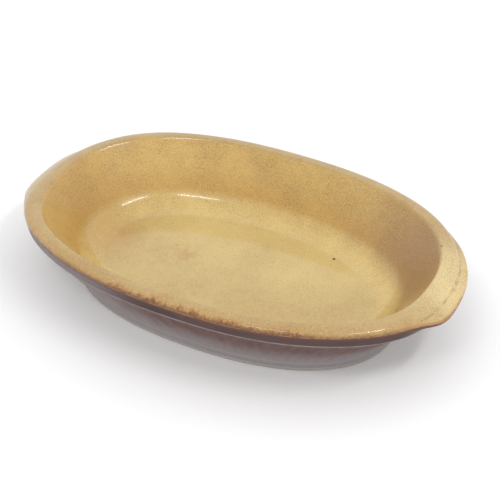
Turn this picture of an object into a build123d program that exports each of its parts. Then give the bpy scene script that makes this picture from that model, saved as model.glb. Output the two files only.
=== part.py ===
# Oval gratin dish with two lugs, in stoneware with a pale liner glaze and a dark outer glaze.
# The dish stands on z = 0 with its length along X and +Z up. Lengths are in millimetres.
# Both coats of glaze share their inner faces with the clay.
from build123d import *
from math import cos, hypot, log, pi, sin
import os

# Outline of the rim, outside, without the lugs. An oval's corner share says where it crosses the diagonal
# of its own box: 0.707 is an ellipse, and more is fuller at the shoulders.
rim_half_length = 143.6
rim_half_width = 92.9
rim_corner_share = 0.741

# Top of the rim: a dome that is highest near its inner edge and falls towards its outer edge, level in the
# middle of the dish and bent down towards both ends
dish_height = 53.8
rim_width_end = 12.7
rim_width_side = 9.2
rim_crest_share = 0.9
rim_outer_drop = 4.0
rim_inner_drop = 3.0
opening_corner_share = 0.753
end_dip = 2.5
dip_run = 42.0

# Outside: an upright band under the rim, the leaning wall below it, and a knuckle above the foot
band_height = 11.1
band_draw = 1.5
knuckle_height = 13.0
knuckle_draw_end = 29.2
knuckle_draw_side = 21.8
knuckle_corner_share = 0.742
knuckle_round = 5.0
foot_tuck = 5.2
foot_corner_share = 0.737
foot_edge_round = 1.5
foot_ring_width = 9.0
foot_lift = 3.5
foot_recess_round = 2.0

# Inside: a leaning wall that runs into a flat floor through a cove
base_thickness = 10.0
floor_draw_end = 27.5
floor_draw_side = 21.2
floor_corner_share = 0.730
cove_rise = 11.0
cove_run = 13.0

# Lugs: ledges that stand out at the foot of the dome. Each has its reach, its half width and the power by
# which it falls away at its sides: a higher power gives a more sudden end.
right_lug_reach = 7.7
right_lug_half_width = 33.5
right_lug_power = 4.5
left_lug_reach = 3.6
left_lug_half_width = 31.5
left_lug_power = 8.0
lug_fade_power = 2
lug_bottom_drop = 6.9
lug_edge_round = 1.0
lug_underside_shares = (0.86, 0.98)
ledge_edge_share = 0.45
ledge_root_share = 0.75
ledge_lug_shares = (0.95, 0.04)

# Glaze: one thickness for both coats, and the bare strip at the foot
glaze_thickness = 0.4
foot_bare_height = 4.0

# Fineness of the drawn outlines and rounds, how much closer an outline's points lie at its ends, and how far
# a cut passes the faces it cuts
outline_points = 72
end_crowding = 0.35
small_round_steps = 2
dome_steps = 6
cove_steps = 6
overrun = 6.0

floor_height = foot_lift + base_thickness
dip_radius = (dip_run ** 2 + end_dip ** 2) / (2 * end_dip)
level_half_length = rim_half_length - rim_width_end - dip_run
centring = (left_lug_reach - right_lug_reach) / 2
mean_lug_reach = (left_lug_reach + right_lug_reach) / 2


def rim_dip(x):
    """How far the rim's top has bent down at a place along the dish."""
    past = max(0, abs(x) - level_half_length)
    return dip_radius - (dip_radius ** 2 - past ** 2) ** 0.5


def lug_reach(along, y):
    """How far a lug stands out at a place given as a share of the half length and a distance across."""
    if along > 0:
        reach, half_width, power = right_lug_reach, right_lug_half_width, right_lug_power
    else:
        reach, half_width, power = left_lug_reach, left_lug_half_width, left_lug_power
    return reach * abs(along) ** lug_fade_power / (1 + (abs(y) / half_width) ** power)


def outline(half_length, half_width, corner_share, height, lugs, dips):
    """A line round the dish with a share of each lug's reach at its ends and a share of the rim's dip."""
    power = -log(2) / log(corner_share)
    points = []
    for i in range(outline_points):
        even = 2 * pi * i / outline_points
        turn = even - end_crowding * sin(2 * even)
        along, across = cos(turn), sin(turn)
        r = (abs(along / half_length) ** power + abs(across / half_width) ** power) ** (-1 / power)
        x, y = r * along, r * across
        nx = (abs(x) / half_length) ** (power - 1) / half_length * (1 if x > 0 else -1)
        ny = (abs(y) / half_width) ** (power - 1) / half_width * (1 if y > 0 else -1)
        out = lugs * lug_reach(x / half_length, y) / hypot(nx, ny)
        x, y = x + out * nx, y + out * ny
        points.append(Vector(x + centring, y, height - dips * rim_dip(x)))
    return Edge.make_spline(points, periodic=True)


# A station is a half length, a half width, a corner share, a height, a share of the lugs and one of the dip.
def between(first, last, share):
    """The station part of the way from one station to another."""
    return tuple(a + share * (b - a) for a, b in zip(first, last))


def bend(first, corner, last, steps):
    """Stations of a round from one station to another, drawn in towards the corner between them."""
    shares = [i / steps for i in range(steps + 1)]
    return [between(between(first, corner, s), between(corner, last, s), s) for s in shares]


def moved(station, inset, rise=0, lugs=0):
    """A station drawn in all round and lifted."""
    half_length, half_width, corner_share, height, _, dips = station
    return (half_length - inset, half_width - inset, corner_share, height + rise, lugs, dips)


rim = (rim_half_length, rim_half_width, rim_corner_share, dish_height, 0, 1)
edge = moved(rim, 0, -rim_outer_drop)
step = moved(rim, band_draw, -band_height)
knuckle = (
    rim_half_length - knuckle_draw_end,
    rim_half_width - knuckle_draw_side,
    knuckle_corner_share,
    knuckle_height,
    0,
    0,
)
foot = (knuckle[0] - foot_tuck, knuckle[1] - foot_tuck, foot_corner_share, 0, 0, 0)
opening = (rim_half_length - rim_width_end, rim_half_width - rim_width_side, opening_corner_share) + rim[3:]
floor_corner = (opening[0] - floor_draw_end, opening[1] - floor_draw_side, floor_corner_share, floor_height, 0, 0)
inner_depth = dish_height - floor_height


def foot_stations():
    """From the ceiling of the recess under the base, over the foot ring, to the line where the glaze starts."""
    inner_edge = moved(foot, foot_ring_width)
    ceiling = moved(inner_edge, 0, foot_lift)
    recess = bend(moved(ceiling, foot_recess_round), ceiling, moved(ceiling, 0, -foot_recess_round), small_round_steps)
    edge_top = between(foot, knuckle, foot_edge_round / knuckle_height)
    sole_edge = bend(moved(foot, foot_edge_round), foot, edge_top, small_round_steps)
    return recess + [inner_edge] + sole_edge + [between(foot, knuckle, foot_bare_height / knuckle_height)]


def outer_stations():
    """From over the bare foot up the leaning wall and the band, and out round the lugs to the rim's outer edge."""
    wall_height = dish_height - band_height - knuckle_height
    below = between(knuckle, foot, knuckle_round / knuckle_height)
    above = between(knuckle, step, knuckle_round / wall_height)
    side_height = band_height - rim_outer_drop
    under = between(edge, step, (lug_bottom_drop - rim_outer_drop) / side_height)
    lower = between(edge, step, (lug_bottom_drop - lug_edge_round - rim_outer_drop) / side_height)
    lug_side = [moved(under, 0, lugs=lug_underside_shares[0]), moved(lower, 0, lugs=lug_underside_shares[1])]
    return bend(below, knuckle, above, small_round_steps) + [step] + lug_side + [moved(edge, 0, lugs=1)]


def inner_stations():
    """From the rim's outer edge over the lugs' ledges and the dome, down the wall and the cove to the floor."""
    crest = between(rim, opening, rim_crest_share)
    dome = bend(edge, rim, crest, dome_steps)
    ledge_edge = moved(between(dome[0], dome[1], ledge_edge_share), 0, lugs=ledge_lug_shares[0])
    ledge_root = moved(between(dome[0], dome[1], ledge_root_share), 0, lugs=ledge_lug_shares[1])
    below_rim = between(opening, floor_corner, rim_inner_drop / inner_depth)
    over_cove = between(floor_corner, opening, cove_rise / inner_depth)
    rounded = bend(crest, opening, below_rim, small_round_steps)
    cove = bend(over_cove, floor_corner, moved(floor_corner, cove_run), cove_steps)
    return [ledge_edge, ledge_root] + dome[1:] + rounded[1:] + cove


foot_part, outer_part, inner_part = foot_stations(), outer_stations(), inner_stations()
stations = foot_part + outer_part + inner_part
bare_line = len(foot_part) - 1
glaze_line = len(foot_part + outer_part) - 1
last_station = len(stations) - 1


def breadth(station):
    """Half the mean size of the line at a station, with its share of the lugs."""
    return (station[0] + station[1]) / 2 + station[4] * mean_lug_reach


def ring(i, depth=0):
    """The line round the dish at station i, or as far under the glazed face as depth says."""
    half_length, half_width, corner_share, height, lugs, dips = stations[i]
    before, after = stations[i - 1], stations[min(i + 1, last_station)]
    out = breadth(after) - breadth(before)
    up = 0 if i == last_station else after[3] - before[3]
    inward, lift = depth * up / hypot(out, up), depth * out / hypot(out, up)
    return outline(half_length - inward, half_width - inward, corner_share, height + lift, lugs, dips)


def rings(first, last, depth=0):
    """The lines from one station to another, in either order."""
    order = range(first, last + 1) if first <= last else range(first, last - 1, -1)
    return [ring(i, depth) for i in order]


def skin(lines):
    """Faces that run from line to line."""
    return [Face.make_surface_from_curves(low, high) for low, high in zip(lines, lines[1:])]


def solid_of(faces):
    """The solid inside a closed skin."""
    return Solid(Shell(Face.sew_faces(faces)[0]))


def capped(lines):
    """A solid skinned from line to line and closed by a flat face at both ends."""
    return solid_of([Face(Wire([lines[0]]))] + skin(lines) + [Face(Wire([lines[-1]]))])


def clay_shape():
    """The whole dish under its glaze, bare up to the line above the foot."""
    sole = len(foot_part) - small_round_steps - 3
    lines = rings(0, bare_line) + rings(bare_line, last_station, glaze_thickness)
    flat_sole = Face(Wire([lines[sole + 1]]), [Wire([lines[sole]])])
    floor, ceiling = Face(Wire([lines[-1]])), Face(Wire([lines[0]]))
    return solid_of([ceiling] + skin(lines[:sole + 1]) + [flat_sole] + skin(lines[sole + 1:]) + [floor])


def plain_shape():
    """The room of the dish without its lugs, out to the face of the glaze and wider under the band."""
    wall = [moved(foot, -overrun), moved(knuckle, -overrun), step, edge, rim]
    low_end = moved(wall[0], 0, -overrun)
    high_end = moved(wall[-1], 0, overrun)[:-1] + (0,)
    return capped([outline(*station) for station in [low_end] + wall + [high_end]])


clay, plain = clay_shape(), plain_shape()
left_lug, right_lug = (clay - plain).solids().sort_by(Axis.X)

nodes = {
    "stoneware_body": clay & plain,
    "right_lug": right_lug,
    "left_lug": left_lug,
    "liner_glaze": capped(rings(last_station, glaze_line, glaze_thickness) + rings(glaze_line, last_station)),
    "outer_glaze": solid_of(
        skin(
            rings(bare_line, glaze_line)
            + rings(glaze_line, bare_line, glaze_thickness)
            + rings(bare_line, bare_line)
        )
    ),
}

os.makedirs("parts", exist_ok=True)
for name, shape in nodes.items():
    export_step(shape, f"parts/{name}.step")
    size = shape.bounding_box().size
    print(name, round(shape.volume), "mm3", [round(v, 2) for v in (size.X, size.Y, size.Z)])
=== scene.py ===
# %% [markdown]
# # An oval gratin dish in two glazes
# The dish is one piece of fired stoneware: an oval vessel with a lug at each end, a cream glaze poured inside
# and over the rim, and a dark brown glaze outside that stops above the bare foot. The measured model is
# loaded first, as a frame that nothing here may move. Everything below is drawn in metres in that same frame.

# %% Load the measured dish
from math import cos, hypot, log, pi, radians, sin

import bpy
import numpy as np
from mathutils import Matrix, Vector


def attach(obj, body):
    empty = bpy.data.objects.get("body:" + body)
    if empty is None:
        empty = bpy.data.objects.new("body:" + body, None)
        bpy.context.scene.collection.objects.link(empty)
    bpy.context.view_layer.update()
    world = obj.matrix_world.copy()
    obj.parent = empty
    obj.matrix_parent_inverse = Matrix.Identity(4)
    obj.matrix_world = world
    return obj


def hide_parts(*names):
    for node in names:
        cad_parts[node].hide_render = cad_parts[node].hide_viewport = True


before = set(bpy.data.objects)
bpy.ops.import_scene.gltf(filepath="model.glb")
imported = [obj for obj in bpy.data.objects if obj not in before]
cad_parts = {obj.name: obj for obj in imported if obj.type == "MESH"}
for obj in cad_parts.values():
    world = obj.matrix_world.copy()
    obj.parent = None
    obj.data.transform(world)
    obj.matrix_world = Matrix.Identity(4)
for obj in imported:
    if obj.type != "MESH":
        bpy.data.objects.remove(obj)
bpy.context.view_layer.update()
mm = 0.001
print("measured pieces:", ", ".join(sorted(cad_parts)))

# %% [markdown]
# ## The camera
# The photograph was taken with a long lens from above one corner, so the near lug looks only a little larger
# than the far one. The camera could be set by eye, but an outline fitted to the photograph gives its height,
# its turn and its distance at once. It aims at the middle of the rim, and a small shift of the film does the
# framing.

# %% Camera
camera_turn = radians(28.503)
camera_tilt = radians(34.778)
camera_distance = 1006.5 * mm
camera_aim_height = 53.0 * mm
focal_pixels = 1600.0
picture_pixels = 500.0
film_width = 36.0
axis_from_middle = (-13.13, -27.12)

right_lug_reach = 7.7 * mm
left_lug_reach = 3.6 * mm
dish_middle = (left_lug_reach - right_lug_reach) / 2
level_share = cos(camera_tilt)
view_line = Vector((-sin(camera_turn) * level_share, cos(camera_turn) * level_share, -sin(camera_tilt)))

camera = bpy.data.objects.new("camera", bpy.data.cameras.new("camera"))
bpy.context.scene.collection.objects.link(camera)
camera.location = Vector((dish_middle, 0, camera_aim_height)) - camera_distance * view_line
camera.rotation_euler = view_line.to_track_quat("-Z", "Y").to_euler()
camera.data.sensor_width = film_width
camera.data.lens = focal_pixels / picture_pixels * film_width
camera.data.shift_x = -axis_from_middle[0] / picture_pixels
camera.data.shift_y = axis_from_middle[1] / picture_pixels
bpy.context.scene.camera = camera
print("camera at", [round(v, 3) for v in camera.location], "lens", round(camera.data.lens, 1), "mm")

# %% [markdown]
# ## Table and light
# Glaze is mostly seen by what it mirrors. The thin bright lines on the cove and on the rim show two narrow
# soft boxes, high up and one at each side of the camera, and the paler front half of the floor mirrors a
# bright room. One sun lamp would give neither, so there are two area lamps, a pale world all round, and a
# white table.

# %% Table and lamps
table_size = 6.0
table_white = (0.94, 0.94, 0.94, 1)
table_roughness = 0.9
world_white = (1.0, 1.0, 1.0, 1)
world_strength = 1.0
lamp_distance = 1.8
# Each box has its bearing and its height angle in degrees, its width and height in metres, and its watts.
soft_boxes = {
    "soft_box_right": (-8, 57.5, 0.88, 0.07, 5.0),
    "soft_box_left": (-85, 54, 0.60, 0.06, 3.0),
}

table_mesh = bpy.data.meshes.new("table")
half = table_size / 2
corners = [(-half, -half, 0), (half, -half, 0), (half, half, 0), (-half, half, 0)]
table_mesh.from_pydata(corners, [], [(0, 1, 2, 3)])
table = bpy.data.objects.new("table", table_mesh)
bpy.context.scene.collection.objects.link(table)
table_paint = bpy.data.materials.new("table_paint")
table_paint.use_nodes = True
table_paint.node_tree.nodes["Principled BSDF"].inputs["Base Color"].default_value = table_white
table_paint.node_tree.nodes["Principled BSDF"].inputs["Roughness"].default_value = table_roughness
table.data.materials.append(table_paint)


def soft_box(name, bearing, height_angle, width, height, power):
    """An area lamp that faces the middle of the dish from a bearing and a height above the table."""
    lamp = bpy.data.objects.new(name, bpy.data.lights.new(name, "AREA"))
    bpy.context.scene.collection.objects.link(lamp)
    side = Vector((cos(bearing) * cos(height_angle), sin(bearing) * cos(height_angle), sin(height_angle)))
    lamp.location = side * lamp_distance
    lamp.rotation_euler = (-side).to_track_quat("-Z", "Y").to_euler()
    lamp.data.shape = "RECTANGLE"
    lamp.data.size = width
    lamp.data.size_y = height
    lamp.data.energy = power
    return lamp


for box_name, (bearing, height_angle, width, height, power) in soft_boxes.items():
    soft_box(box_name, radians(bearing), radians(height_angle), width, height, power)

world = bpy.data.worlds.new("pale_room")
bpy.context.scene.world = world
world.use_nodes = True
world.node_tree.nodes["Background"].inputs["Color"].default_value = world_white
world.node_tree.nodes["Background"].inputs["Strength"].default_value = world_strength
bpy.context.scene.view_settings.view_transform = "Standard"
print(len(soft_boxes), "soft boxes and a pale room")

# %% [markdown]
# ## The dish's lines
# A dish like this is pressed or jollied, so every level of it is the same kind of oval, a little fuller than
# an ellipse. It could be modelled as a box with subdivision, but the fullness and the lugs would be
# guesswork. Instead a formula draws the oval at any level, and the profile says how the oval changes from the
# foot, over the rim, to the middle of the floor. The rim bends down towards both ends, and the lugs stand out
# of it there. The right lug was pulled by hand: it is fullest near the camera and thins out towards its far
# end.

# %% Ovals with lugs and a dipping rim
points_around = 480
end_crowding = 0.35
end_dip = 2.5 * mm
dip_run = 42.0 * mm
rim_half_length = 143.6 * mm
rim_half_width = 92.9 * mm
rim_corner_share = 0.741
rim_width_end = 12.7 * mm
rim_width_side = 9.2 * mm
right_lug_middle_reach = 7.2 * mm
right_lug_slant = 0.075
right_lug_widths = (27.0 * mm, 56.0 * mm)
right_lug_powers = (6.5, 16.0)
left_lug_half_width = 31.5 * mm
left_lug_power = 8.0
lug_fade_power = 2

dip_radius = (dip_run ** 2 + end_dip ** 2) / (2 * end_dip)
level_half_length = rim_half_length - rim_width_end - dip_run
even_turns = np.linspace(0, 2 * pi, points_around, endpoint=False)
turns = even_turns - end_crowding * np.sin(2 * even_turns)


def lug_swell(along, y):
    """How far a lug stands out, at points given as shares of the half length and distances across."""
    near_end = (np.maximum(-y, 0) / right_lug_widths[0]) ** right_lug_powers[0]
    far_end = (np.maximum(y, 0) / right_lug_widths[1]) ** right_lug_powers[1]
    right = (right_lug_middle_reach - right_lug_slant * y) / (1 + near_end + far_end)
    left = left_lug_reach / (1 + (np.abs(y) / left_lug_half_width) ** left_lug_power)
    return np.where(along > 0, right, left) * np.abs(along) ** lug_fade_power


def oval(half_length, half_width, corner_share, height, lugs, dips):
    """Points of one line round the dish, as rows of x, y and z."""
    power = -log(2) / log(corner_share)
    along, across = np.cos(turns), np.sin(turns)
    r = (np.abs(along / half_length) ** power + np.abs(across / half_width) ** power) ** (-1 / power)
    x, y = r * along, r * across
    nx = np.sign(x) * (np.abs(x) / half_length) ** (power - 1) / half_length
    ny = np.sign(y) * (np.abs(y) / half_width) ** (power - 1) / half_width
    out = lugs * lug_swell(x / half_length, y) / np.hypot(nx, ny)
    x, y = x + out * nx, y + out * ny
    past = np.maximum(0, np.abs(x) - level_half_length)
    dip = dip_radius - np.sqrt(dip_radius ** 2 - past ** 2)
    return np.stack([x, y, height - dips * dip], axis=1)


rim_line = oval(rim_half_length, rim_half_width, rim_corner_share, 0, 1, 1)
print("rim with lugs:", np.round((rim_line.max(0) - rim_line.min(0)) / mm, 1), "mm")

# %% [markdown]
# A station of the profile holds the oval's half length, half width, fullness and height, and its share of the
# lugs and of the dip. Straight stretches and rounds between stations make the whole profile. A corner that is
# only bevelled would catch no streak of light, so every edge gets a true round of many small steps.

# %% Stations of the profile
dish_height = 53.8 * mm
rim_outer_drop = 4.0 * mm
band_height = 11.1 * mm
band_draw = 1.5 * mm
knuckle_height = 13.0 * mm
knuckle_draw_end = 29.2 * mm
knuckle_draw_side = 21.8 * mm
knuckle_corner_share = 0.742
foot_tuck = 5.2 * mm
foot_corner_share = 0.737
opening_corner_share = 0.753
floor_height = 13.5 * mm
floor_draw_end = 27.5 * mm
floor_draw_side = 21.2 * mm
floor_corner_share = 0.730


def between(first, last, share):
    """The station part of the way from one station to another."""
    return tuple(a + share * (b - a) for a, b in zip(first, last))


def straight(first, last, steps):
    """Stations evenly placed from one station to another."""
    return [between(first, last, i / steps) for i in range(steps + 1)]


def bend(first, corner, last, steps):
    """Stations of a round from one station to another, drawn in towards the corner between them."""
    shares = [i / steps for i in range(steps + 1)]
    return [between(between(first, corner, s), between(corner, last, s), s) for s in shares]


def moved(station, inset, rise=0, lugs=0):
    """A station drawn in all round and lifted."""
    half_length, half_width, corner_share, height, _, dips = station
    return (half_length - inset, half_width - inset, corner_share, height + rise, lugs, dips)


def swollen(station, lugs):
    """A station with a share of the lugs."""
    return moved(station, 0, lugs=lugs)


rim = (rim_half_length, rim_half_width, rim_corner_share, dish_height, 0, 1)
edge = moved(rim, 0, -rim_outer_drop)
step = moved(rim, band_draw, -band_height)
knuckle_size = (rim_half_length - knuckle_draw_end, rim_half_width - knuckle_draw_side)
knuckle = knuckle_size + (knuckle_corner_share, knuckle_height, 0, 0)
foot = (knuckle[0] - foot_tuck, knuckle[1] - foot_tuck, foot_corner_share, 0, 0, 0)
opening = (rim_half_length - rim_width_end, rim_half_width - rim_width_side, opening_corner_share) + rim[3:]
floor_size = (opening[0] - floor_draw_end, opening[1] - floor_draw_side)
floor_corner = floor_size + (floor_corner_share, floor_height, 0, 0)
inner_depth = dish_height - floor_height
print("opening", [round(2 * half_size / mm) for half_size in opening[:2]], "mm, depth", inner_depth / mm)

# %% [markdown]
# The outside runs from the line where the brown glaze stops, up the leaning wall, over a thin raised line
# under the band, out along the lugs' undersides and round to the outer edge. That raised line is only half a
# millimetre high, but its top faces the light, and it is the fine pale line in the photograph, so it is real
# geometry.

# %% Outside profile
bare_height = 4.0 * mm
knuckle_round = 5.0 * mm
line_size = 0.5 * mm
line_width = 1.8 * mm
lug_foot_drop = 6.9 * mm
lug_corner_drop = 6.3 * mm
lug_foot_share = 0.86
round_steps = 8
large_round_steps = 12
low_steps = 4
wall_steps = 14
band_steps = 10


def raised_line(first, last, steps):
    """Stations from one to another that swell out in the middle by the size of the raised line."""
    swells = [line_size * sin(pi * i / steps) for i in range(steps + 1)]
    return [moved(station, -swell) for station, swell in zip(straight(first, last, steps), swells)]


def on_band(drop):
    """The station on the upright band that lies a drop under the rim."""
    return between(edge, step, (drop - rim_outer_drop) / (band_height - rim_outer_drop))


def outside_stretches():
    """From the bare line up the outside to the outer edge: foot, wall, raised line, and band with lugs."""
    bare_line = between(foot, knuckle, bare_height / knuckle_height)
    below = between(knuckle, foot, knuckle_round / knuckle_height)
    above = between(knuckle, step, knuckle_round / (step[3] - knuckle[3]))
    line_foot = between(step, knuckle, line_width / (step[3] - knuckle[3]))
    lug_foot = swollen(on_band(lug_foot_drop), lug_foot_share)
    lug_side = bend(lug_foot, swollen(on_band(lug_corner_drop), 1), swollen(edge, 1), large_round_steps)
    low = straight(bare_line, below, low_steps) + bend(below, knuckle, above, round_steps)[1:]
    wall = straight(above, line_foot, wall_steps)[1:]
    line = raised_line(line_foot, step, round_steps)[1:]
    return low, wall, line, straight(step, lug_foot, band_steps)[1:] + lug_side[1:]


outside = outside_stretches()
print("outside:", sum(len(rows) for rows in outside), "rows of", points_around, "points")

# %% [markdown]
# The inside starts at the same outer edge. The rim's top is a dome that rises inwards from it, and at the
# ends the lugs are thin ledges at the dome's foot, with a crease between. From the crest the profile goes
# down the wall, through the cove and across the flat floor in ever smaller ovals to its middle. The ledges
# could be pieces of their own, but as steps of the same profile they join the rim without a seam.

# %% Inside profile
rim_crest_share = 0.9
rim_inner_drop = 3.0 * mm
cove_rise = 11.0 * mm
cove_run = 13.0 * mm
middle_share = 0.02
dome_steps = 30
ledge_steps = 5
ledge_face_steps = 8
crease_steps = 6
inner_wall_steps = 18
cove_steps = 24
floor_steps = 24
# Each place on the ledge is a share of the way from the outer edge to the dome's foot and a share of the lug.
ledge_edge_shares = (0.45, 1)
ledge_top_shares = (0.49, 0.84)
ledge_root_shares = (0.70, 0.17)
crease_shares = (0.757, 0.01)

crest = between(rim, opening, rim_crest_share)
dome = bend(edge, rim, crest, dome_steps)
dome_foot = dome[ledge_steps]


def on_ledge(share, lugs):
    """A station between the outer edge and the dome's foot, with a share of the lugs."""
    return swollen(between(edge, dome_foot, share), lugs)


def inside_stretches():
    """From the outer edge to the middle of the floor: rim with lugs, wall, cove and floor."""
    rim_edge = bend(swollen(edge, 1), on_ledge(*ledge_edge_shares), on_ledge(*ledge_top_shares), round_steps)
    ledge = straight(rim_edge[-1], on_ledge(*ledge_root_shares), ledge_face_steps)
    crease = bend(ledge[-1], on_ledge(*crease_shares), dome_foot, crease_steps)
    below_rim = between(opening, floor_corner, rim_inner_drop / inner_depth)
    inner_round = bend(crest, opening, below_rim, large_round_steps)
    over_rim = rim_edge + ledge[1:] + crease[1:] + dome[ledge_steps + 1:] + inner_round[1:]
    over_cove = between(floor_corner, opening, cove_rise / inner_depth)
    floor_edge = moved(floor_corner, cove_run)
    smallest = (floor_edge[0] * middle_share, floor_edge[1] * middle_share) + floor_edge[2:]
    wall = straight(below_rim, over_cove, inner_wall_steps)[1:]
    cove = bend(over_cove, floor_corner, floor_edge, cove_steps)[1:]
    return over_rim, wall, cove, straight(floor_edge, smallest, floor_steps)[1:]


inside = inside_stretches()
print("inside:", sum(len(rows) for rows in inside), "rows")

# %% [markdown]
# ## From rows to a piece
# A coat of glaze is a skin with a thickness. A solidify modifier could give it one, but then the two coats
# and the clay wouldn't meet exactly. So each piece is laid out as rows of points on its outer face and on the
# face it shares with the clay, and neighbouring rows are joined with quads.

# %% Rows of points and their under side
glaze_thickness = 0.4 * mm
mean_lug_reach = (left_lug_reach + right_lug_reach) / 2


def joined(stretches):
    """All the rows of several stretches in one list."""
    return [row for rows in stretches for row in rows]


def reaches_of(stretches):
    """A number for each row that grows by 1 along every stretch."""
    return np.concatenate([i + np.arange(1, len(rows) + 1) / len(rows) for i, rows in enumerate(stretches)])


def breadth(station):
    """Half the mean size of the line at a station, with its share of the lugs."""
    return (station[0] + station[1]) / 2 + station[4] * mean_lug_reach


def under(rows, i, depth):
    """Station i of the rows, moved under the face by a depth."""
    before, after = rows[max(i - 1, 0)], rows[min(i + 1, len(rows) - 1)]
    out, up = breadth(after) - breadth(before), after[3] - before[3]
    half_length, half_width, corner_share, height, lugs, dips = rows[i]
    inward, lift = depth * up / hypot(out, up), depth * out / hypot(out, up)
    return (half_length - inward, half_width - inward, corner_share, height + lift, lugs, dips)


def underside(rows, depth=glaze_thickness, every=2):
    """The rows on the clay's side of a coat, in the order back from the last one."""
    picked = sorted(set(range(0, len(rows), every)) | {len(rows) - 1}, reverse=True)
    return [under(rows, i, depth) for i in picked]


outside_rows, inside_rows = joined(outside), joined(inside)
print("coats are", glaze_thickness / mm, "mm thick")

# %% [markdown]
# No hand-finished rim is exact, so the points are settled a little: the wall leans in and the rim sinks by
# parts of a millimetre, which makes the bright lines on the glaze wander. A piece also stores four things
# that the finishes use: its reach along the profile, the distance from the dish's outer edge, the distance
# from the crease of a lug, and the spot on the rim that each point belongs to, for streaks that run across
# the rim.

# %% Mesh pieces
settle_depth = 0.1 * mm
settle_middle = 40 * mm
lug_zone = (95 * mm, 118 * mm)
no_crease = 8 * mm
least_ledge = 1.2 * mm
streak_shortening = 0.35


def settle(points):
    """The maker's hand: the wall leans in and the rim sinks a little between the lugs, never outwards."""
    x, y, z = points.T
    turn = np.arctan2(y / rim_half_width, x / rim_half_length)
    size = np.maximum(np.hypot(x, y), mm)
    fade = np.clip((lug_zone[1] - np.abs(x)) / (lug_zone[1] - lug_zone[0]), 0, 1)
    grip = settle_depth * np.clip(z / dish_height, 0, 1) * np.clip(size / settle_middle, 0, 1) * fade
    lean = grip * (1.2 + np.sin(2 * turn + 0.7) + 0.2 * np.sin(5 * turn))
    sink = grip * (1.0 + np.sin(3 * turn + 0.4))
    return np.stack([x - lean * x / size, y - lean * y / size, z - sink], axis=1)


def facts_of(points, count):
    """Distances from the outer edge and from the lugs' creases, and the spot on the rim, for all rows."""
    edge_line = np.tile(oval(*swollen(edge, 1)), (count, 1))
    crease_line = np.tile(oval(*on_ledge(*crease_shares)), (count, 1))
    from_edge = np.linalg.norm(points - edge_line, axis=1)
    ledge_width = np.linalg.norm(edge_line - crease_line, axis=1)
    lug_share = np.clip((ledge_width - least_ledge) / least_ledge, 0, 1)
    from_crease = np.linalg.norm(points - crease_line, axis=1) + no_crease * (1 - lug_share)
    rim_spot = np.stack([edge_line[:, 0], edge_line[:, 1], streak_shortening * from_edge], axis=1)
    return from_edge, from_crease, rim_spot


def piece_of(name, rows, reaches, ends, closed=False):
    """A mesh piece from rows of stations. Open rows end in a point at each named end, closed ones join up."""
    count, faces = len(rows), []
    drawn = np.concatenate([oval(*row) for row in rows])
    from_edge, from_crease, rim_spot = facts_of(drawn, count)
    points, reach = settle(drawn) + np.array([dish_middle, 0, 0]), np.repeat(reaches, points_around)
    for i in range(count if closed else count - 1):
        low, high = i * points_around, (i + 1) % count * points_around
        for j in range(points_around):
            k = (j + 1) % points_around
            faces.append((low + j, low + k, high + k, high + j))
    for end in ends:
        start = end % count * points_around
        fan = [(start + j, start + (j + 1) % points_around, len(points)) for j in range(points_around)]
        faces += [face[::-1] for face in fan] if end == 0 else fan
        points = np.concatenate([points, [points[start:start + points_around].mean(axis=0)]])
        reach, from_edge = np.append(reach, reaches[end]), np.append(from_edge, from_edge[start])
        from_crease = np.append(from_crease, from_crease[start])
        rim_spot = np.concatenate([rim_spot, rim_spot[start:start + 1]])
    mesh = bpy.data.meshes.new(name)
    mesh.from_pydata(points.tolist(), [], faces)
    for fact_name, values in (("reach", reach), ("from_edge", from_edge), ("from_crease", from_crease)):
        stored = mesh.attributes.new(fact_name, "FLOAT", "POINT")
        stored.data.foreach_set("value", values.astype(np.float32))
    stored = mesh.attributes.new("rim_spot", "FLOAT_VECTOR", "POINT")
    stored.data.foreach_set("vector", rim_spot.astype(np.float32).ravel())
    mesh.shade_smooth()
    piece = bpy.data.objects.new(name, mesh)
    bpy.context.scene.collection.objects.link(piece)
    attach(piece, "root")
    print(name, len(mesh.vertices), "points,", len(mesh.polygons), "faces")
    return piece


# %% [markdown]
# ## The brown coat
# The brown glaze covers the outside, from the outer edge of the rim down to a few millimetres above the
# table. It could be a mere colour on the clay, but a coat of its own stops in a line as crisp as the real
# one. Its face and its underside are one closed loop of rows, like a belt round the dish. Reach runs from 0
# at the foot to 1 above the knuckle, 2 at the raised line, 3 at the band and 4 at the outer edge.

# %% Brown coat
brown_back = underside(outside_rows)
brown_reaches = np.concatenate([reaches_of(outside), np.full(len(brown_back), 4.0)])
brown_coat = piece_of("brown_coat", outside_rows + brown_back, brown_reaches, (), closed=True)
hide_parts("outer_glaze")

# %% [markdown]
# ## The cream coat
# The cream glaze was poured in and ran over the rim. It could be cut at the crest, but then its colour would
# break there, so it is one piece from the outer edge, over the lugs and the rim, to the middle of the floor.
# Reach runs from 0 at the outer edge to 1 under the rim, 2 at the wall's foot, 3 at the floor and 4 in its
# middle.

# %% Cream coat
cream_back = underside(inside_rows)
cream_reaches = np.concatenate([np.zeros(len(cream_back)), reaches_of(inside)])
cream_coat = piece_of("cream_coat", cream_back + inside_rows, cream_reaches, (0, -1))
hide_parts("liner_glaze")

# %% [markdown]
# ## The clay body
# Between the coats lies the clay, and it shows only at the foot: a bare ring that was wiped clean before
# firing, and the shallow recess inside it. The lugs are fired onto the vessel, so one skin of clay stands for
# all three clay pieces, right under the glaze. Reach is 0 in the recess and on the ring, and 1 from the
# ring's outer round upwards.

# %% Clay body
foot_ring_width = 9.0 * mm
foot_lift = 3.5 * mm
foot_recess_round = 2.0 * mm
foot_edge_round = 1.5 * mm
clay_gap = 0.02 * mm
ring_round_steps = 6
sole_steps = 4
recess_steps = 16
strip_steps = 3


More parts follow.
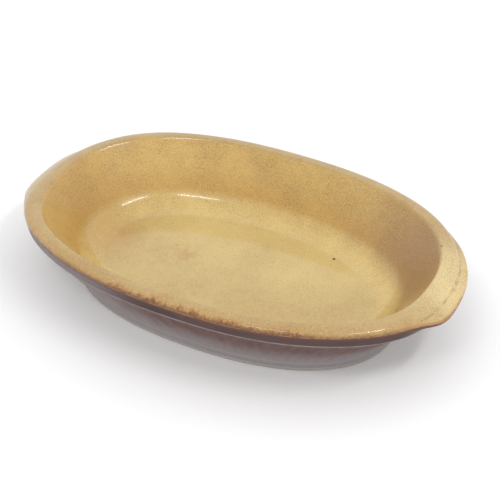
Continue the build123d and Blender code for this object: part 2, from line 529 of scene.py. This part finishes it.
def foot_stretches():
    """From the middle of the recess over the foot ring, and round its edge to where the glaze stops."""
    inner_edge = moved(foot, foot_ring_width)
    ceiling = moved(inner_edge, 0, foot_lift)
    recess_end = moved(ceiling, 0, -foot_recess_round)
    recess = bend(moved(ceiling, foot_recess_round), ceiling, recess_end, round_steps)
    smallest = (foot[0] * middle_share, foot[1] * middle_share) + recess[0][2:]
    ring_start, ring_end = moved(inner_edge, 0, foot_edge_round), moved(inner_edge, -foot_edge_round)
    inner_round = bend(ring_start, inner_edge, ring_end, ring_round_steps)
    edge_top = between(foot, knuckle, foot_edge_round / knuckle_height)
    outer_round = bend(moved(foot, foot_edge_round), foot, edge_top, round_steps)
    bare_top = between(foot, knuckle, bare_height / knuckle_height)
    sole = straight(inner_round[-1], outer_round[0], sole_steps)[1:-1]
    middle_part = straight(smallest, recess[0], recess_steps)[:-1]
    strip = straight(edge_top, bare_top, strip_steps)
    return middle_part + recess + inner_round + sole, outer_round[:-1] + strip


clay_depth = glaze_thickness + clay_gap
foot_rows, strip_rows = foot_stretches()
covered_rows = underside(outside_rows, clay_depth)[::-1] + underside(inside_rows, clay_depth)[::-1]
clay_rows = foot_rows + strip_rows + covered_rows
clay_reaches = np.concatenate([np.zeros(len(foot_rows)), np.ones(len(strip_rows + covered_rows))])
clay_body = piece_of("clay_body", clay_rows, clay_reaches, (0, -1))
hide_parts("stoneware_body", "right_lug", "left_lug")

# %% [markdown]
# ## Finishes
# Each finish is a small network of nodes. A few helpers keep them readable: one adds a node and plugs in its
# values or links, and the others make the patterns that all three finishes share. Patterns are laid out in
# the dish's own coordinates, in real sizes, so they are the same on every side and in every view. Noise runs
# from 0 to 1 with most of it near 0.5, so the two numbers after a cloud say where its blotches start and
# where they are full.

# %% Helpers for the finishes
def new_finish(name, roughness):
    """A material and its shader, ready for more nodes."""
    paint = bpy.data.materials.new(name)
    paint.use_nodes = True
    shader = paint.node_tree.nodes["Principled BSDF"]
    shader.inputs["Roughness"].default_value = roughness
    return paint, shader


def add(tree, kind, values, **settings):
    """A node with its settings, and its inputs set to numbers or linked to other nodes' outputs."""
    made = tree.nodes.new(kind)
    for key, value in settings.items():
        setattr(made, key, value)
    for key, value in values.items():
        if isinstance(value, bpy.types.NodeSocket):
            tree.links.new(value, made.inputs[key])
        else:
            made.inputs[key].default_value = value
    return made


def place(tree):
    """The point's place on the dish, in metres."""
    return add(tree, "ShaderNodeTexCoord", {}).outputs["Object"]


def fact(tree, name, kind="Fac"):
    """A number or a place that the piece stores for each of its points."""
    return add(tree, "ShaderNodeAttribute", {}, attribute_name=name).outputs[kind]


def cloud(tree, where, size, detail=3, rough=0.55):
    """Soft noise with blotches of a real size."""
    values = {"Vector": where, "Scale": 1 / size, "Detail": detail, "Roughness": rough}
    return add(tree, "ShaderNodeTexNoise", values).outputs["Fac"]


def ramp(tree, value, low, high, to_low=0.0, to_high=1.0):
    """A value spread from one range onto another and held at its ends."""
    values = {"Value": value, "From Min": low, "From Max": high, "To Min": to_low, "To Max": to_high}
    return add(tree, "ShaderNodeMapRange", values, interpolation_type="SMOOTHSTEP").outputs["Result"]


def together(tree, operation, first, *others):
    """Several values put together two at a time by one operation."""
    for other in others:
        first = add(tree, "ShaderNodeMath", {0: first, 1: other}, operation=operation).outputs[0]
    return first


def sum_of(tree, *values):
    """All the values added."""
    return together(tree, "ADD", *values)


def times(tree, *values):
    """All the values multiplied."""
    return together(tree, "MULTIPLY", *values)


def larger(tree, *values):
    """The largest of the values."""
    return together(tree, "MAXIMUM", *values)


def stretch(tree, value, rise, fall):
    """1 between a rise and a fall of the value and 0 outside them, with soft ends."""
    return times(tree, ramp(tree, value, *rise), ramp(tree, value, *fall, 1.0, 0.0))


def tint(tree, amount, under_colour, over_colour):
    """One colour laid over another by an amount."""
    values = {0: amount, 6: under_colour, 7: over_colour}
    return add(tree, "ShaderNodeMix", values, data_type="RGBA").outputs[2]


def crackle(tree, where, cell, line):
    """The net of a crazed glaze: 1 on the cracks and 0 inside the cells, both of real sizes."""
    bent = add(tree, "ShaderNodeTexNoise", {"Vector": where, "Scale": 0.7 / cell, "Detail": 2.0})
    nudge_values = {0: bent.outputs["Color"], "Scale": 0.7 * cell}
    nudge = add(tree, "ShaderNodeVectorMath", nudge_values, operation="SCALE").outputs[0]
    moved_place = add(tree, "ShaderNodeVectorMath", {0: where, 1: nudge}, operation="ADD").outputs[0]
    values = {"Vector": moved_place, "Scale": 1 / cell, "Randomness": 1.0}
    edge_distance = add(tree, "ShaderNodeTexVoronoi", values, feature="DISTANCE_TO_EDGE").outputs["Distance"]
    return ramp(tree, edge_distance, 0.0, line / cell, 1.0, 0.0)


def mark(x, y, z, size):
    """The middle and the size of a mark on the dish, given in millimetres."""
    return (x * mm, y * mm, z * mm), size * mm


def spot_at(tree, where, middle, size, soft=0.5):
    """1 inside a round spot of a real size and 0 outside it. Soft is the share of the size that fades."""
    ends = {0: where, 1: (middle[0] + dish_middle, middle[1], middle[2])}
    distance = add(tree, "ShaderNodeVectorMath", ends, operation="DISTANCE").outputs["Value"]
    return ramp(tree, distance, size * (1 - soft), size, 1.0, 0.0)


def bumps(tree, shader, layers):
    """Heights in metres, each with its own strength, piled into the shader's normal."""
    normal = None
    for height, depth in layers:
        values = {"Height": height, "Distance": depth, "Strength": 1.0}
        if normal is not None:
            values["Normal"] = normal
        normal = add(tree, "ShaderNodeBump", values).outputs["Normal"]
    tree.links.new(normal, shader.inputs["Normal"])


print("helpers ready")

# %% [markdown]
# ### Cream glaze
# The glaze is a clear honey colour where it runs thin on the walls, deepest just above the cove, and paler
# and yellower on the floor, where it pools. The cove between them is painted lighter, a painted reflection of
# the bright room in its curved glaze. Blotches of three sizes break the tone up. One flat colour would look
# like plastic, so the colour is built in layers, from the broadest to the finest.

# %% Cream glaze: tone and blotches
rim_cream = (0.58, 0.435, 0.20, 1)
wall_honey = (0.76, 0.53, 0.17, 1)
foot_of_wall_ochre = (0.70, 0.44, 0.115, 1)
cove_reflection_yellow = (0.80, 0.605, 0.228, 1)
floor_cream = (0.645, 0.503, 0.217, 1)
deep_honey = (0.50, 0.32, 0.10, 1)
under_the_rim = (0.86, 0.98)
down_the_wall = (1.35, 1.95)
into_the_cove = (1.96, 2.24)
onto_the_floor = (2.5, 3.1)
broad_blotch, middling_blotch, fine_blotch = 45 * mm, 7 * mm, 1.1 * mm
broad_strength, middling_strength = 0.25, 0.3
fine_on_rim, fine_on_floor = 0.65, 0.5

cream_glaze, cream_shader = new_finish("cream_glaze", 0.1)
tree = cream_glaze.node_tree
spot, reach = place(tree), fact(tree, "reach")
from_edge, from_crease = fact(tree, "from_edge"), fact(tree, "from_crease")
rim_spot = fact(tree, "rim_spot", "Vector")

tone = tint(tree, ramp(tree, reach, *under_the_rim), rim_cream, wall_honey)
tone = tint(tree, ramp(tree, reach, *down_the_wall), tone, foot_of_wall_ochre)
# Painted reflection: the cove is made lighter than the wall above and the floor below, where its curved glaze
# mirrors the bright room.
tone = tint(tree, ramp(tree, reach, *into_the_cove), tone, cove_reflection_yellow)
tone = tint(tree, ramp(tree, reach, *onto_the_floor), tone, floor_cream)
broad = cloud(tree, spot, broad_blotch, 4)
tone = tint(tree, ramp(tree, broad, 0.35, 0.7, 0.0, broad_strength), tone, deep_honey)
middling = cloud(tree, spot, middling_blotch, 5, 0.65)
tone = tint(tree, ramp(tree, middling, 0.42, 0.75, 0.0, middling_strength), tone, deep_honey)
fine = cloud(tree, spot, fine_blotch, 3, 0.7)
fine_strength = ramp(tree, reach, 1.0, 3.0, fine_on_rim, fine_on_floor)
tone = tint(tree, times(tree, ramp(tree, fine, 0.3, 0.8), fine_strength), tone, deep_honey)
print("cream tones laid")

# %% [markdown]
# Heat and use leave their own marks: an old stain at the left of the floor and a few small specks elsewhere.
# Light and shade are painted in as well. Painted shade makes the right wall rosy brown under the rim and the
# left end a deeper ochre, painted light makes the right lug pale, and two golden patches at the back of the
# floor are a painted reflection of the back wall. They could be painted on a picture, but a round spot at a
# place on the dish does for each of them.

# %% Cream glaze: stains, specks, and painted light and shade
shade_rosy_brown = (0.35, 0.205, 0.105, 1)
shade_ochre = (0.50, 0.27, 0.065, 1)
reflected_gold = (0.76, 0.59, 0.24, 1)
lit_cream = (0.92, 0.74, 0.38, 1)
stain_brown = (0.50, 0.27, 0.10, 1)
speck_brown = (0.17, 0.09, 0.04, 1)
right_wall_shade = mark(114, 36, 42, 96)
left_wall_shade = mark(-130, -8, 34, 75)
floor_shade = mark(-97, 0, 13.5, 34)
golden_reflections = (mark(44, 42, 13.5, 60), mark(-34, 46, 13.5, 60))
right_lug_painted_light = mark(142, 14, 47, 56)
floor_stain = mark(-39, 4, 13.5, 16)
small_specks = (
    mark(-49.6, 8.7, 13.5, 0.6),
    mark(-81.0, 39.6, 13.5, 0.6),
    mark(-92.5, -32.7, 14.5, 0.8),
    mark(122.5, 39.7, 51.7, 1.3),
)
wall_fades = (1.8, 2.6)
very_soft = 0.9
shade_strength, reflection_strength, lug_light_strength, speck_strength = 0.5, 0.45, 0.70, 0.65

on_wall = stretch(tree, reach, under_the_rim, wall_fades)
# Painted shade: the right wall under the rim is darkened to a rosy brown, where it lies in shade.
right_shade = times(tree, spot_at(tree, spot, *right_wall_shade, soft=very_soft), on_wall)
right_shade = times(tree, right_shade, ramp(tree, fine, 0.35, 0.65, 0.72, 0.95))
tone = tint(tree, right_shade, tone, shade_rosy_brown)
# Painted shade: the left end of the wall, less on the rim, and the floor beside it are darkened to a deeper
# ochre.
less_on_rim = ramp(tree, reach, 0.86, 1.0, 0.35, 1.0)
wall_shade = times(tree, spot_at(tree, spot, *left_wall_shade, soft=very_soft), less_on_rim)
shade = larger(tree, wall_shade, spot_at(tree, spot, *floor_shade, soft=very_soft))
tone = tint(tree, times(tree, shade, shade_strength), tone, shade_ochre)
# Painted reflection: two golden patches at the back of the floor stand for the golden back wall mirrored in
# the floor glaze.
painted_reflection = larger(tree, *[spot_at(tree, spot, *reflection_spot, soft=0.6) for reflection_spot in golden_reflections])
tone = tint(tree, times(tree, painted_reflection, ramp(tree, reach, 2.2, 2.9), reflection_strength), tone, reflected_gold)
# Painted light: the top of the right lug is made paler, where the light falls on it.
only_on_rim = ramp(tree, reach, 0.84, 0.92, 1.0, 0.0)
lug_painted_light = times(tree, spot_at(tree, spot, *right_lug_painted_light, soft=very_soft), only_on_rim)
tone = tint(tree, times(tree, lug_painted_light, lug_light_strength), tone, lit_cream)
mottled_stain = ramp(tree, middling, 0.4, 0.65, 0.1, 0.5)
stain = times(tree, spot_at(tree, spot, *floor_stain, soft=very_soft), mottled_stain)
tone = tint(tree, stain, tone, stain_brown)
for speck in small_specks:
    tone = tint(tree, times(tree, spot_at(tree, spot, *speck), speck_strength), tone, speck_brown)
print("stains and", len(small_specks), "small specks laid")

# %% [markdown]
# The glaze is crazed all over in cells under two millimetres wide, and the cracks have taken up fat and dirt,
# most of all on the walls. A picture of cracks would stretch and repeat, so the edges of random cells make
# the net, and a cloud keeps it patchy. On the rim the cracks pull into lines that run straight across it, so
# there the net is laid out in the rim's own directions. The one dark pinhole comes last, because no crack
# shows inside it.

# %% Cream glaze: crazing and the pinhole
crack_brown = (0.20, 0.10, 0.038, 1)
iron_black = (0.02, 0.012, 0.006, 1)
cell_size = 1.45 * mm
crack_width = 0.26 * mm
small_cell_share, small_crack_share, small_crack_strength = 0.5, 0.7, 0.5
rim_cell_size = 1.5 * mm
crack_patch = 22 * mm
least_crack, most_crack = 0.36, 0.56
cracks_on_rim, cracks_on_wall, cracks_on_floor = 0.7, 0.95, 0.6
pinhole = mark(48.1, 43.9, 13.5, 1.1)

net = crackle(tree, spot, cell_size, crack_width)
small_net = crackle(tree, spot, small_cell_share * cell_size, small_crack_share * crack_width)
net = larger(tree, net, times(tree, small_net, small_crack_strength))
patchy = ramp(tree, cloud(tree, spot, crack_patch, 3), 0.34, 0.66, least_crack, most_crack)
net = times(tree, net, patchy, ramp(tree, reach, 1.5, 2.7, cracks_on_wall, cracks_on_floor))
on_rim = times(tree, ramp(tree, reach, 0.85, 1.0, cracks_on_rim, 0.0), patchy)
cracks = larger(tree, net, times(tree, crackle(tree, rim_spot, rim_cell_size, crack_width), on_rim))
tone = tint(tree, cracks, tone, crack_brown)
tone = tint(tree, spot_at(tree, spot, *pinhole, soft=0.3), tone, iron_black)
print("crazing in cells of", cell_size / mm, "mm")

# %% [markdown]
# The outer edge is toasted where the glaze ran thin over it: a mottled brown fringe with an orange halo,
# frayed along its inner side, widest in the middle of the front and narrow on the lugs. A brush stroke along
# the edge would be too even, so the distance from the edge is disturbed by streaks across the rim and by
# small blotches before the colours are laid.

# %% Cream glaze: toasted edge
toasted_brown = (0.17, 0.070, 0.022, 1)
toast_orange = (0.42, 0.19, 0.055, 1)
fringe_width = 2.2 * mm
fray_depth = 1.1 * mm
streak_size, uneven_size, fray_size, mottle_size = 2.4 * mm, 13 * mm, 1.7 * mm, 1.4 * mm
hottest_edge = mark(26, -93, 50, 88)
least_heat, most_heat = 0.45, 1.1
mottle_strength, halo_strength = 0.42, 0.6
mottle_fades, halo_fades, toast_fades = (3.5 * mm, 10 * mm), (-1.0 * mm, 3.4 * mm), (-2.0 * mm, 1.7 * mm)

streaks = ramp(tree, cloud(tree, rim_spot, streak_size, 2, 0.5), 0.36, 0.64, 0.85, 1.1)
heat = ramp(tree, spot_at(tree, spot, *hottest_edge, soft=0.6), 0.0, 1.0, least_heat, most_heat)
uneven = times(tree, ramp(tree, cloud(tree, rim_spot, uneven_size, 3, 0.6), 0.36, 0.64, 0.7, 1.25), heat)
off_lug = ramp(tree, from_crease, 0.6 * no_crease, no_crease, 0.12, 1.0)
fringe = times(tree, streaks, uneven, fringe_width, off_lug)
fray = ramp(tree, cloud(tree, spot, fray_size, 4, 0.7), 0.32, 0.68, -fray_depth, fray_depth)
past_fringe = sum_of(tree, from_edge, times(tree, fray, uneven), times(tree, fringe, -1.0))
mottle = ramp(tree, cloud(tree, spot, mottle_size, 4, 0.7), 0.4, 0.65, 0.0, mottle_strength)
mottled = times(tree, mottle, ramp(tree, from_edge, *mottle_fades, 1.0, 0.0), off_lug)
tone = tint(tree, mottled, tone, toast_orange)
halo = times(tree, ramp(tree, past_fringe, *halo_fades, halo_strength, 0.0), uneven, off_lug)
tone = tint(tree, halo, tone, toast_orange)
toasted = times(tree, ramp(tree, past_fringe, *toast_fades, 1.0, 0.0), off_lug)
tone = tint(tree, toasted, tone, toasted_brown)
print("edge toasted")

# %% [markdown]
# The lugs have marks of their own. The left ledge is painted a pale grey, a painted reflection of the white
# room at its glancing angle, the near end of the right lug is scorched orange, and dirt lies in the crease of
# each lug, in patches as a cloth would leave it. They could be painted on by hand, but the stored distances
# from the edge and the creases put each along its own line.

# %% Cream glaze: lugs and their creases
reflected_ledge_grey = (0.60, 0.53, 0.40, 1)
crease_dirt = (0.34, 0.19, 0.07, 1)
left_lug_reflection = mark(-146, 6, 47, 52)
lug_stain = mark(140, -30, 46, 24)
crease_spot = mark(141.8, 14.6, 46.2, 2.6)
dirt_patch = 5 * mm
ledge_reflection_strength, burnt_strength, crease_spot_strength = 0.8, 0.75, 0.7
ledge_reflection_fades, burnt_fades, dirt_fades = (2.0 * mm, 4.0 * mm), (0.5 * mm, 2.4 * mm), (0.1 * mm, 1.3 * mm)

# Painted reflection: the left ledge near its outer edge is greyed, as the glaze mirrors the white room there.
reflection_near_edge = ramp(tree, from_edge, *ledge_reflection_fades, ledge_reflection_strength, 0.0)
tone = tint(tree, times(tree, spot_at(tree, spot, *left_lug_reflection, soft=0.4), reflection_near_edge), tone, reflected_ledge_grey)
at_edge = ramp(tree, from_edge, *burnt_fades, burnt_strength, 0.0)
tone = tint(tree, times(tree, spot_at(tree, spot, *lug_stain, soft=0.7), at_edge), tone, toast_orange)
patches_of_dirt = ramp(tree, cloud(tree, rim_spot, dirt_patch, 4, 0.7), 0.42, 0.62, 0.08, 0.65)
dirt = times(tree, ramp(tree, from_crease, *dirt_fades, 1.0, 0.0), patches_of_dirt)
dirt = larger(tree, dirt, times(tree, spot_at(tree, spot, *crease_spot, soft=0.8), crease_spot_strength))
tone = tint(tree, dirt, tone, crease_dirt)
tree.links.new(tone, cream_shader.inputs["Base Color"])
print("lugs worn and creases dirtied")

# %% [markdown]
# The floor mirrors the room like a calm pool, while the crazed walls are a little duller. A clear coat on top
# of the coloured layer gives that depth, and low bumps make the bright lines tremble. The bumps fade out
# before the cove, because a bump there would break its bright line up.

# %% Cream glaze: gloss and bumps
least_roughness, most_roughness = 0.05, 0.10
dull_wall, calm_floor = 0.3, 0.03
dull_crease = 0.4
crease_fades = (0.3 * mm, 1.8 * mm)
before_the_cove = (1.5, 2.0)
wave_size, dimple_size, grain_size = 12 * mm, 4 * mm, 1.8 * mm
wave_height, dimple_height, grain_height, crack_depth = 0.08 * mm, 0.04 * mm, 0.006 * mm, 0.015 * mm

wall_roughness = times(tree, ramp(tree, reach, 0.85, 1.1), ramp(tree, reach, 1.9, 2.4, dull_wall, calm_floor))
glaze_roughness = ramp(tree, middling, 0.3, 0.8, least_roughness, most_roughness)
crease_roughness = ramp(tree, from_crease, *crease_fades, dull_crease, 0.0)
roughness = sum_of(tree, glaze_roughness, wall_roughness, crease_roughness)
tree.links.new(roughness, cream_shader.inputs["Roughness"])
cream_shader.inputs["Specular IOR Level"].default_value = 0.4
cream_shader.inputs["Coat Weight"].default_value = 0.25
cream_shader.inputs["Coat Roughness"].default_value = 0.05
waves = times(tree, cloud(tree, spot, wave_size, 2), ramp(tree, reach, 1.6, 2.1, 1.0, 0.25))
dimples = times(tree, cloud(tree, spot, dimple_size, 2), ramp(tree, reach, *before_the_cove, 1.0, 0.08))
fade = ramp(tree, reach, *before_the_cove, 1.0, 0.2)
grain = times(tree, cloud(tree, spot, grain_size, 2), fade)
bumps(tree, cream_shader, [
    (waves, wave_height),
    (dimples, dimple_height),
    (grain, grain_height),
    (times(tree, cracks, fade), -crack_depth),
])
cream_coat.data.materials.append(cream_glaze)
print("cream glaze:", len(tree.nodes), "nodes")

# %% [markdown]
# ### Brown glaze
# Outside, a dark iron glaze runs from purple brown on the band to a redder brown on the upper wall. Towards
# the foot it is painted a grey brown, a painted reflection of the white table in the glaze. Two colours and
# one blend would look like paint, so the blends overlap and faint runs hang down the wall. A grey sheen at
# the left is a painted reflection of the white room at the wall's glancing angle.

# %% Brown glaze: tone, runs and painted reflections
reflected_sole_grey = (0.30, 0.272, 0.278, 1)
reflected_foot_grey = (0.272, 0.234, 0.237, 1)
chestnut = (0.092, 0.030, 0.020, 1)
band_brown = (0.050, 0.027, 0.024, 1)
band_light = (0.098, 0.060, 0.055, 1)
run_brown = (0.13, 0.055, 0.042, 1)
sheen_grey = (0.25, 0.215, 0.222, 1)
freckle_brown = (0.05, 0.025, 0.022, 1)
off_the_foot = (0.0, 0.8)
up_the_wall = (0.45, 1.75)
onto_the_band = (2.9, 3.1)
run_size, pale_patch, freckle_size = 5 * mm, 60 * mm, 1.2 * mm
pale_strength, run_strength, sheen_strength, freckle_strength = 0.7, 0.2, 0.6, 0.25
left_reflected_sheen = mark(-76, -76, 32, 72)

brown_glaze, brown_shader = new_finish("brown_glaze", 0.4)
tree = brown_glaze.node_tree
spot, reach, from_edge = place(tree), fact(tree, "reach"), fact(tree, "from_edge")
rim_spot = fact(tree, "rim_spot", "Vector")

# Painted reflection: the glaze is paler and greyer towards the foot, where it mirrors the white table.
tone = tint(tree, ramp(tree, reach, *off_the_foot), reflected_sole_grey, reflected_foot_grey)
tone = tint(tree, ramp(tree, reach, *up_the_wall), tone, chestnut)
tone = tint(tree, ramp(tree, reach, *onto_the_band), tone, band_brown)
pale_cloud = ramp(tree, cloud(tree, spot, pale_patch, 3), 0.42, 0.62, 0.0, pale_strength)
tone = tint(tree, times(tree, pale_cloud, ramp(tree, reach, 1.4, 2.4)), tone, band_light)
runs = cloud(tree, rim_spot, run_size, 4, 0.6)
hanging = times(tree, ramp(tree, runs, 0.42, 0.68, 0.0, run_strength), ramp(tree, reach, 1.0, 1.7))
tone = tint(tree, hanging, tone, run_brown)
# Painted reflection: a grey sheen on the left of the wall, where the glaze mirrors the white room at a
# glancing angle.
painted_sheen = times(tree, spot_at(tree, spot, *left_reflected_sheen, soft=0.8), sheen_strength)
tone = tint(tree, painted_sheen, tone, sheen_grey)
freckles = cloud(tree, spot, freckle_size, 4, 0.7)
tone = tint(tree, ramp(tree, freckles, 0.45, 0.8, 0.0, freckle_strength), tone, freckle_brown)
print("brown tones laid")

# %% [markdown]
# The knuckle carries a faint pale line, a painted highlight. On the raised line the glaze broke thin and
# pale, and a painted highlight makes it paler still. Near the cream glaze it is scorched, and a broken
# pinkish thread
# marks where the two meet: thin glaze on the edge, with a painted highlight on its round. All these lines
# follow the profile, so each is a narrow stretch of the reach or of the distance from the edge.

# %% Brown glaze: painted highlights, pale lines, gloss and bumps
knuckle_highlight_grey = (0.48, 0.44, 0.43, 1)
line_highlight_grey = (0.26, 0.215, 0.21, 1)
scorched = (0.15, 0.062, 0.035, 1)
thread_pink_highlight = (0.42, 0.22, 0.12, 1)
knuckle_highlight_strength, scorch_strength = 0.22, 0.85
scorch_fades, thread_fades = (0.8 * mm, 3.0 * mm), (0.3 * mm, 0.7 * mm)
wear_size, thread_break_size = 6 * mm, 3.5 * mm
run_height, brown_grain_height = 0.015 * mm, 0.012 * mm

# Painted highlight: a faint pale grey line along the knuckle.
knuckle_highlight = stretch(tree, reach, (0.37, 0.44), (0.46, 0.53))
tone = tint(tree, times(tree, knuckle_highlight, knuckle_highlight_strength), tone, knuckle_highlight_grey)
# Thin glaze and painted highlight: the raised line is made pale grey, broken where it is worn.
highlighted_line = stretch(tree, reach, (2.1, 2.4), (2.9, 3.02))
worn = ramp(tree, cloud(tree, rim_spot, wear_size, 4, 0.6), 0.35, 0.6, 0.6, 1.0)
tone = tint(tree, times(tree, highlighted_line, worn), tone, line_highlight_grey)
tone = tint(tree, ramp(tree, from_edge, *scorch_fades, scorch_strength, 0.0), tone, scorched)
# Thin glaze and painted highlight: a broken pinkish line along the outer edge, where the two glazes meet.
thread_and_highlight = ramp(tree, from_edge, *thread_fades, 1.0, 0.0)
broken = ramp(tree, cloud(tree, rim_spot, thread_break_size, 4, 0.65), 0.40, 0.58, 0.15, 1.0)
tone = tint(tree, times(tree, thread_and_highlight, broken), tone, thread_pink_highlight)
tree.links.new(tone, brown_shader.inputs["Base Color"])

tree.links.new(ramp(tree, runs, 0.3, 0.75, 0.36, 0.5), brown_shader.inputs["Roughness"])
brown_shader.inputs["Specular IOR Level"].default_value = 0.2
brown_shader.inputs["Coat Weight"].default_value = 0.05
brown_shader.inputs["Coat Roughness"].default_value = 0.12
bumps(tree, brown_shader, [
    (runs, run_height),
    (cloud(tree, spot, grain_size, 2), brown_grain_height),
])
brown_coat.data.materials.append(brown_glaze)
print("brown glaze:", len(tree.nodes), "nodes")

# %% [markdown]
# ### Bare clay
# The foot is unglazed stoneware: buff, toasted by the fire to a warm brown, gritty, with iron specks. The
# strip between the sole and the glaze is painted a pale grey brown, painted light that stands for the bright
# table around the foot. It is the one rough surface of the dish, so it gets no coat and the deepest bumps.

# %% Bare clay
clay_buff = (0.40, 0.27, 0.16, 1)
clay_toast = (0.24, 0.125, 0.06, 1)
strip_painted_light = (0.40, 0.375, 0.36, 1)
clay_grit = (0.13, 0.08, 0.05, 1)
toast_size, grit_size, speck_spacing = 18 * mm, 0.8 * mm, 3.0 * mm
strip_light_strength, grit_strength, iron_strength = 0.9, 0.5, 0.8
lump_size, lump_height, grit_height = 4 * mm, 0.15 * mm, 0.10 * mm

bare_clay, clay_shader = new_finish("bare_clay", 0.85)
tree = bare_clay.node_tree
spot, reach = place(tree), fact(tree, "reach")
tone = tint(tree, ramp(tree, cloud(tree, spot, toast_size, 4), 0.35, 0.7), clay_buff, clay_toast)
# Painted light: the strip above the sole is made a paler grey brown.
tone = tint(tree, ramp(tree, reach, 0.2, 0.9, 0.0, strip_light_strength), tone, strip_painted_light)
grit = cloud(tree, spot, grit_size, 3, 0.7)
tone = tint(tree, ramp(tree, grit, 0.55, 0.75, 0.0, grit_strength), tone, clay_grit)
speck_cells = {"Vector": spot, "Scale": 1 / speck_spacing, "Randomness": 1.0}
speck_distance = add(tree, "ShaderNodeTexVoronoi", speck_cells).outputs["Distance"]
tone = tint(tree, ramp(tree, speck_distance, 0.06, 0.12, iron_strength, 0.0), tone, iron_black)
tree.links.new(tone, clay_shader.inputs["Base Color"])
tree.links.new(ramp(tree, grit, 0.3, 0.8, 0.75, 0.95), clay_shader.inputs["Roughness"])
bumps(tree, clay_shader, [(cloud(tree, spot, lump_size, 3), lump_height), (grit, grit_height)])
clay_body.data.materials.append(bare_clay)
print("bare clay:", len(tree.nodes), "nodes")
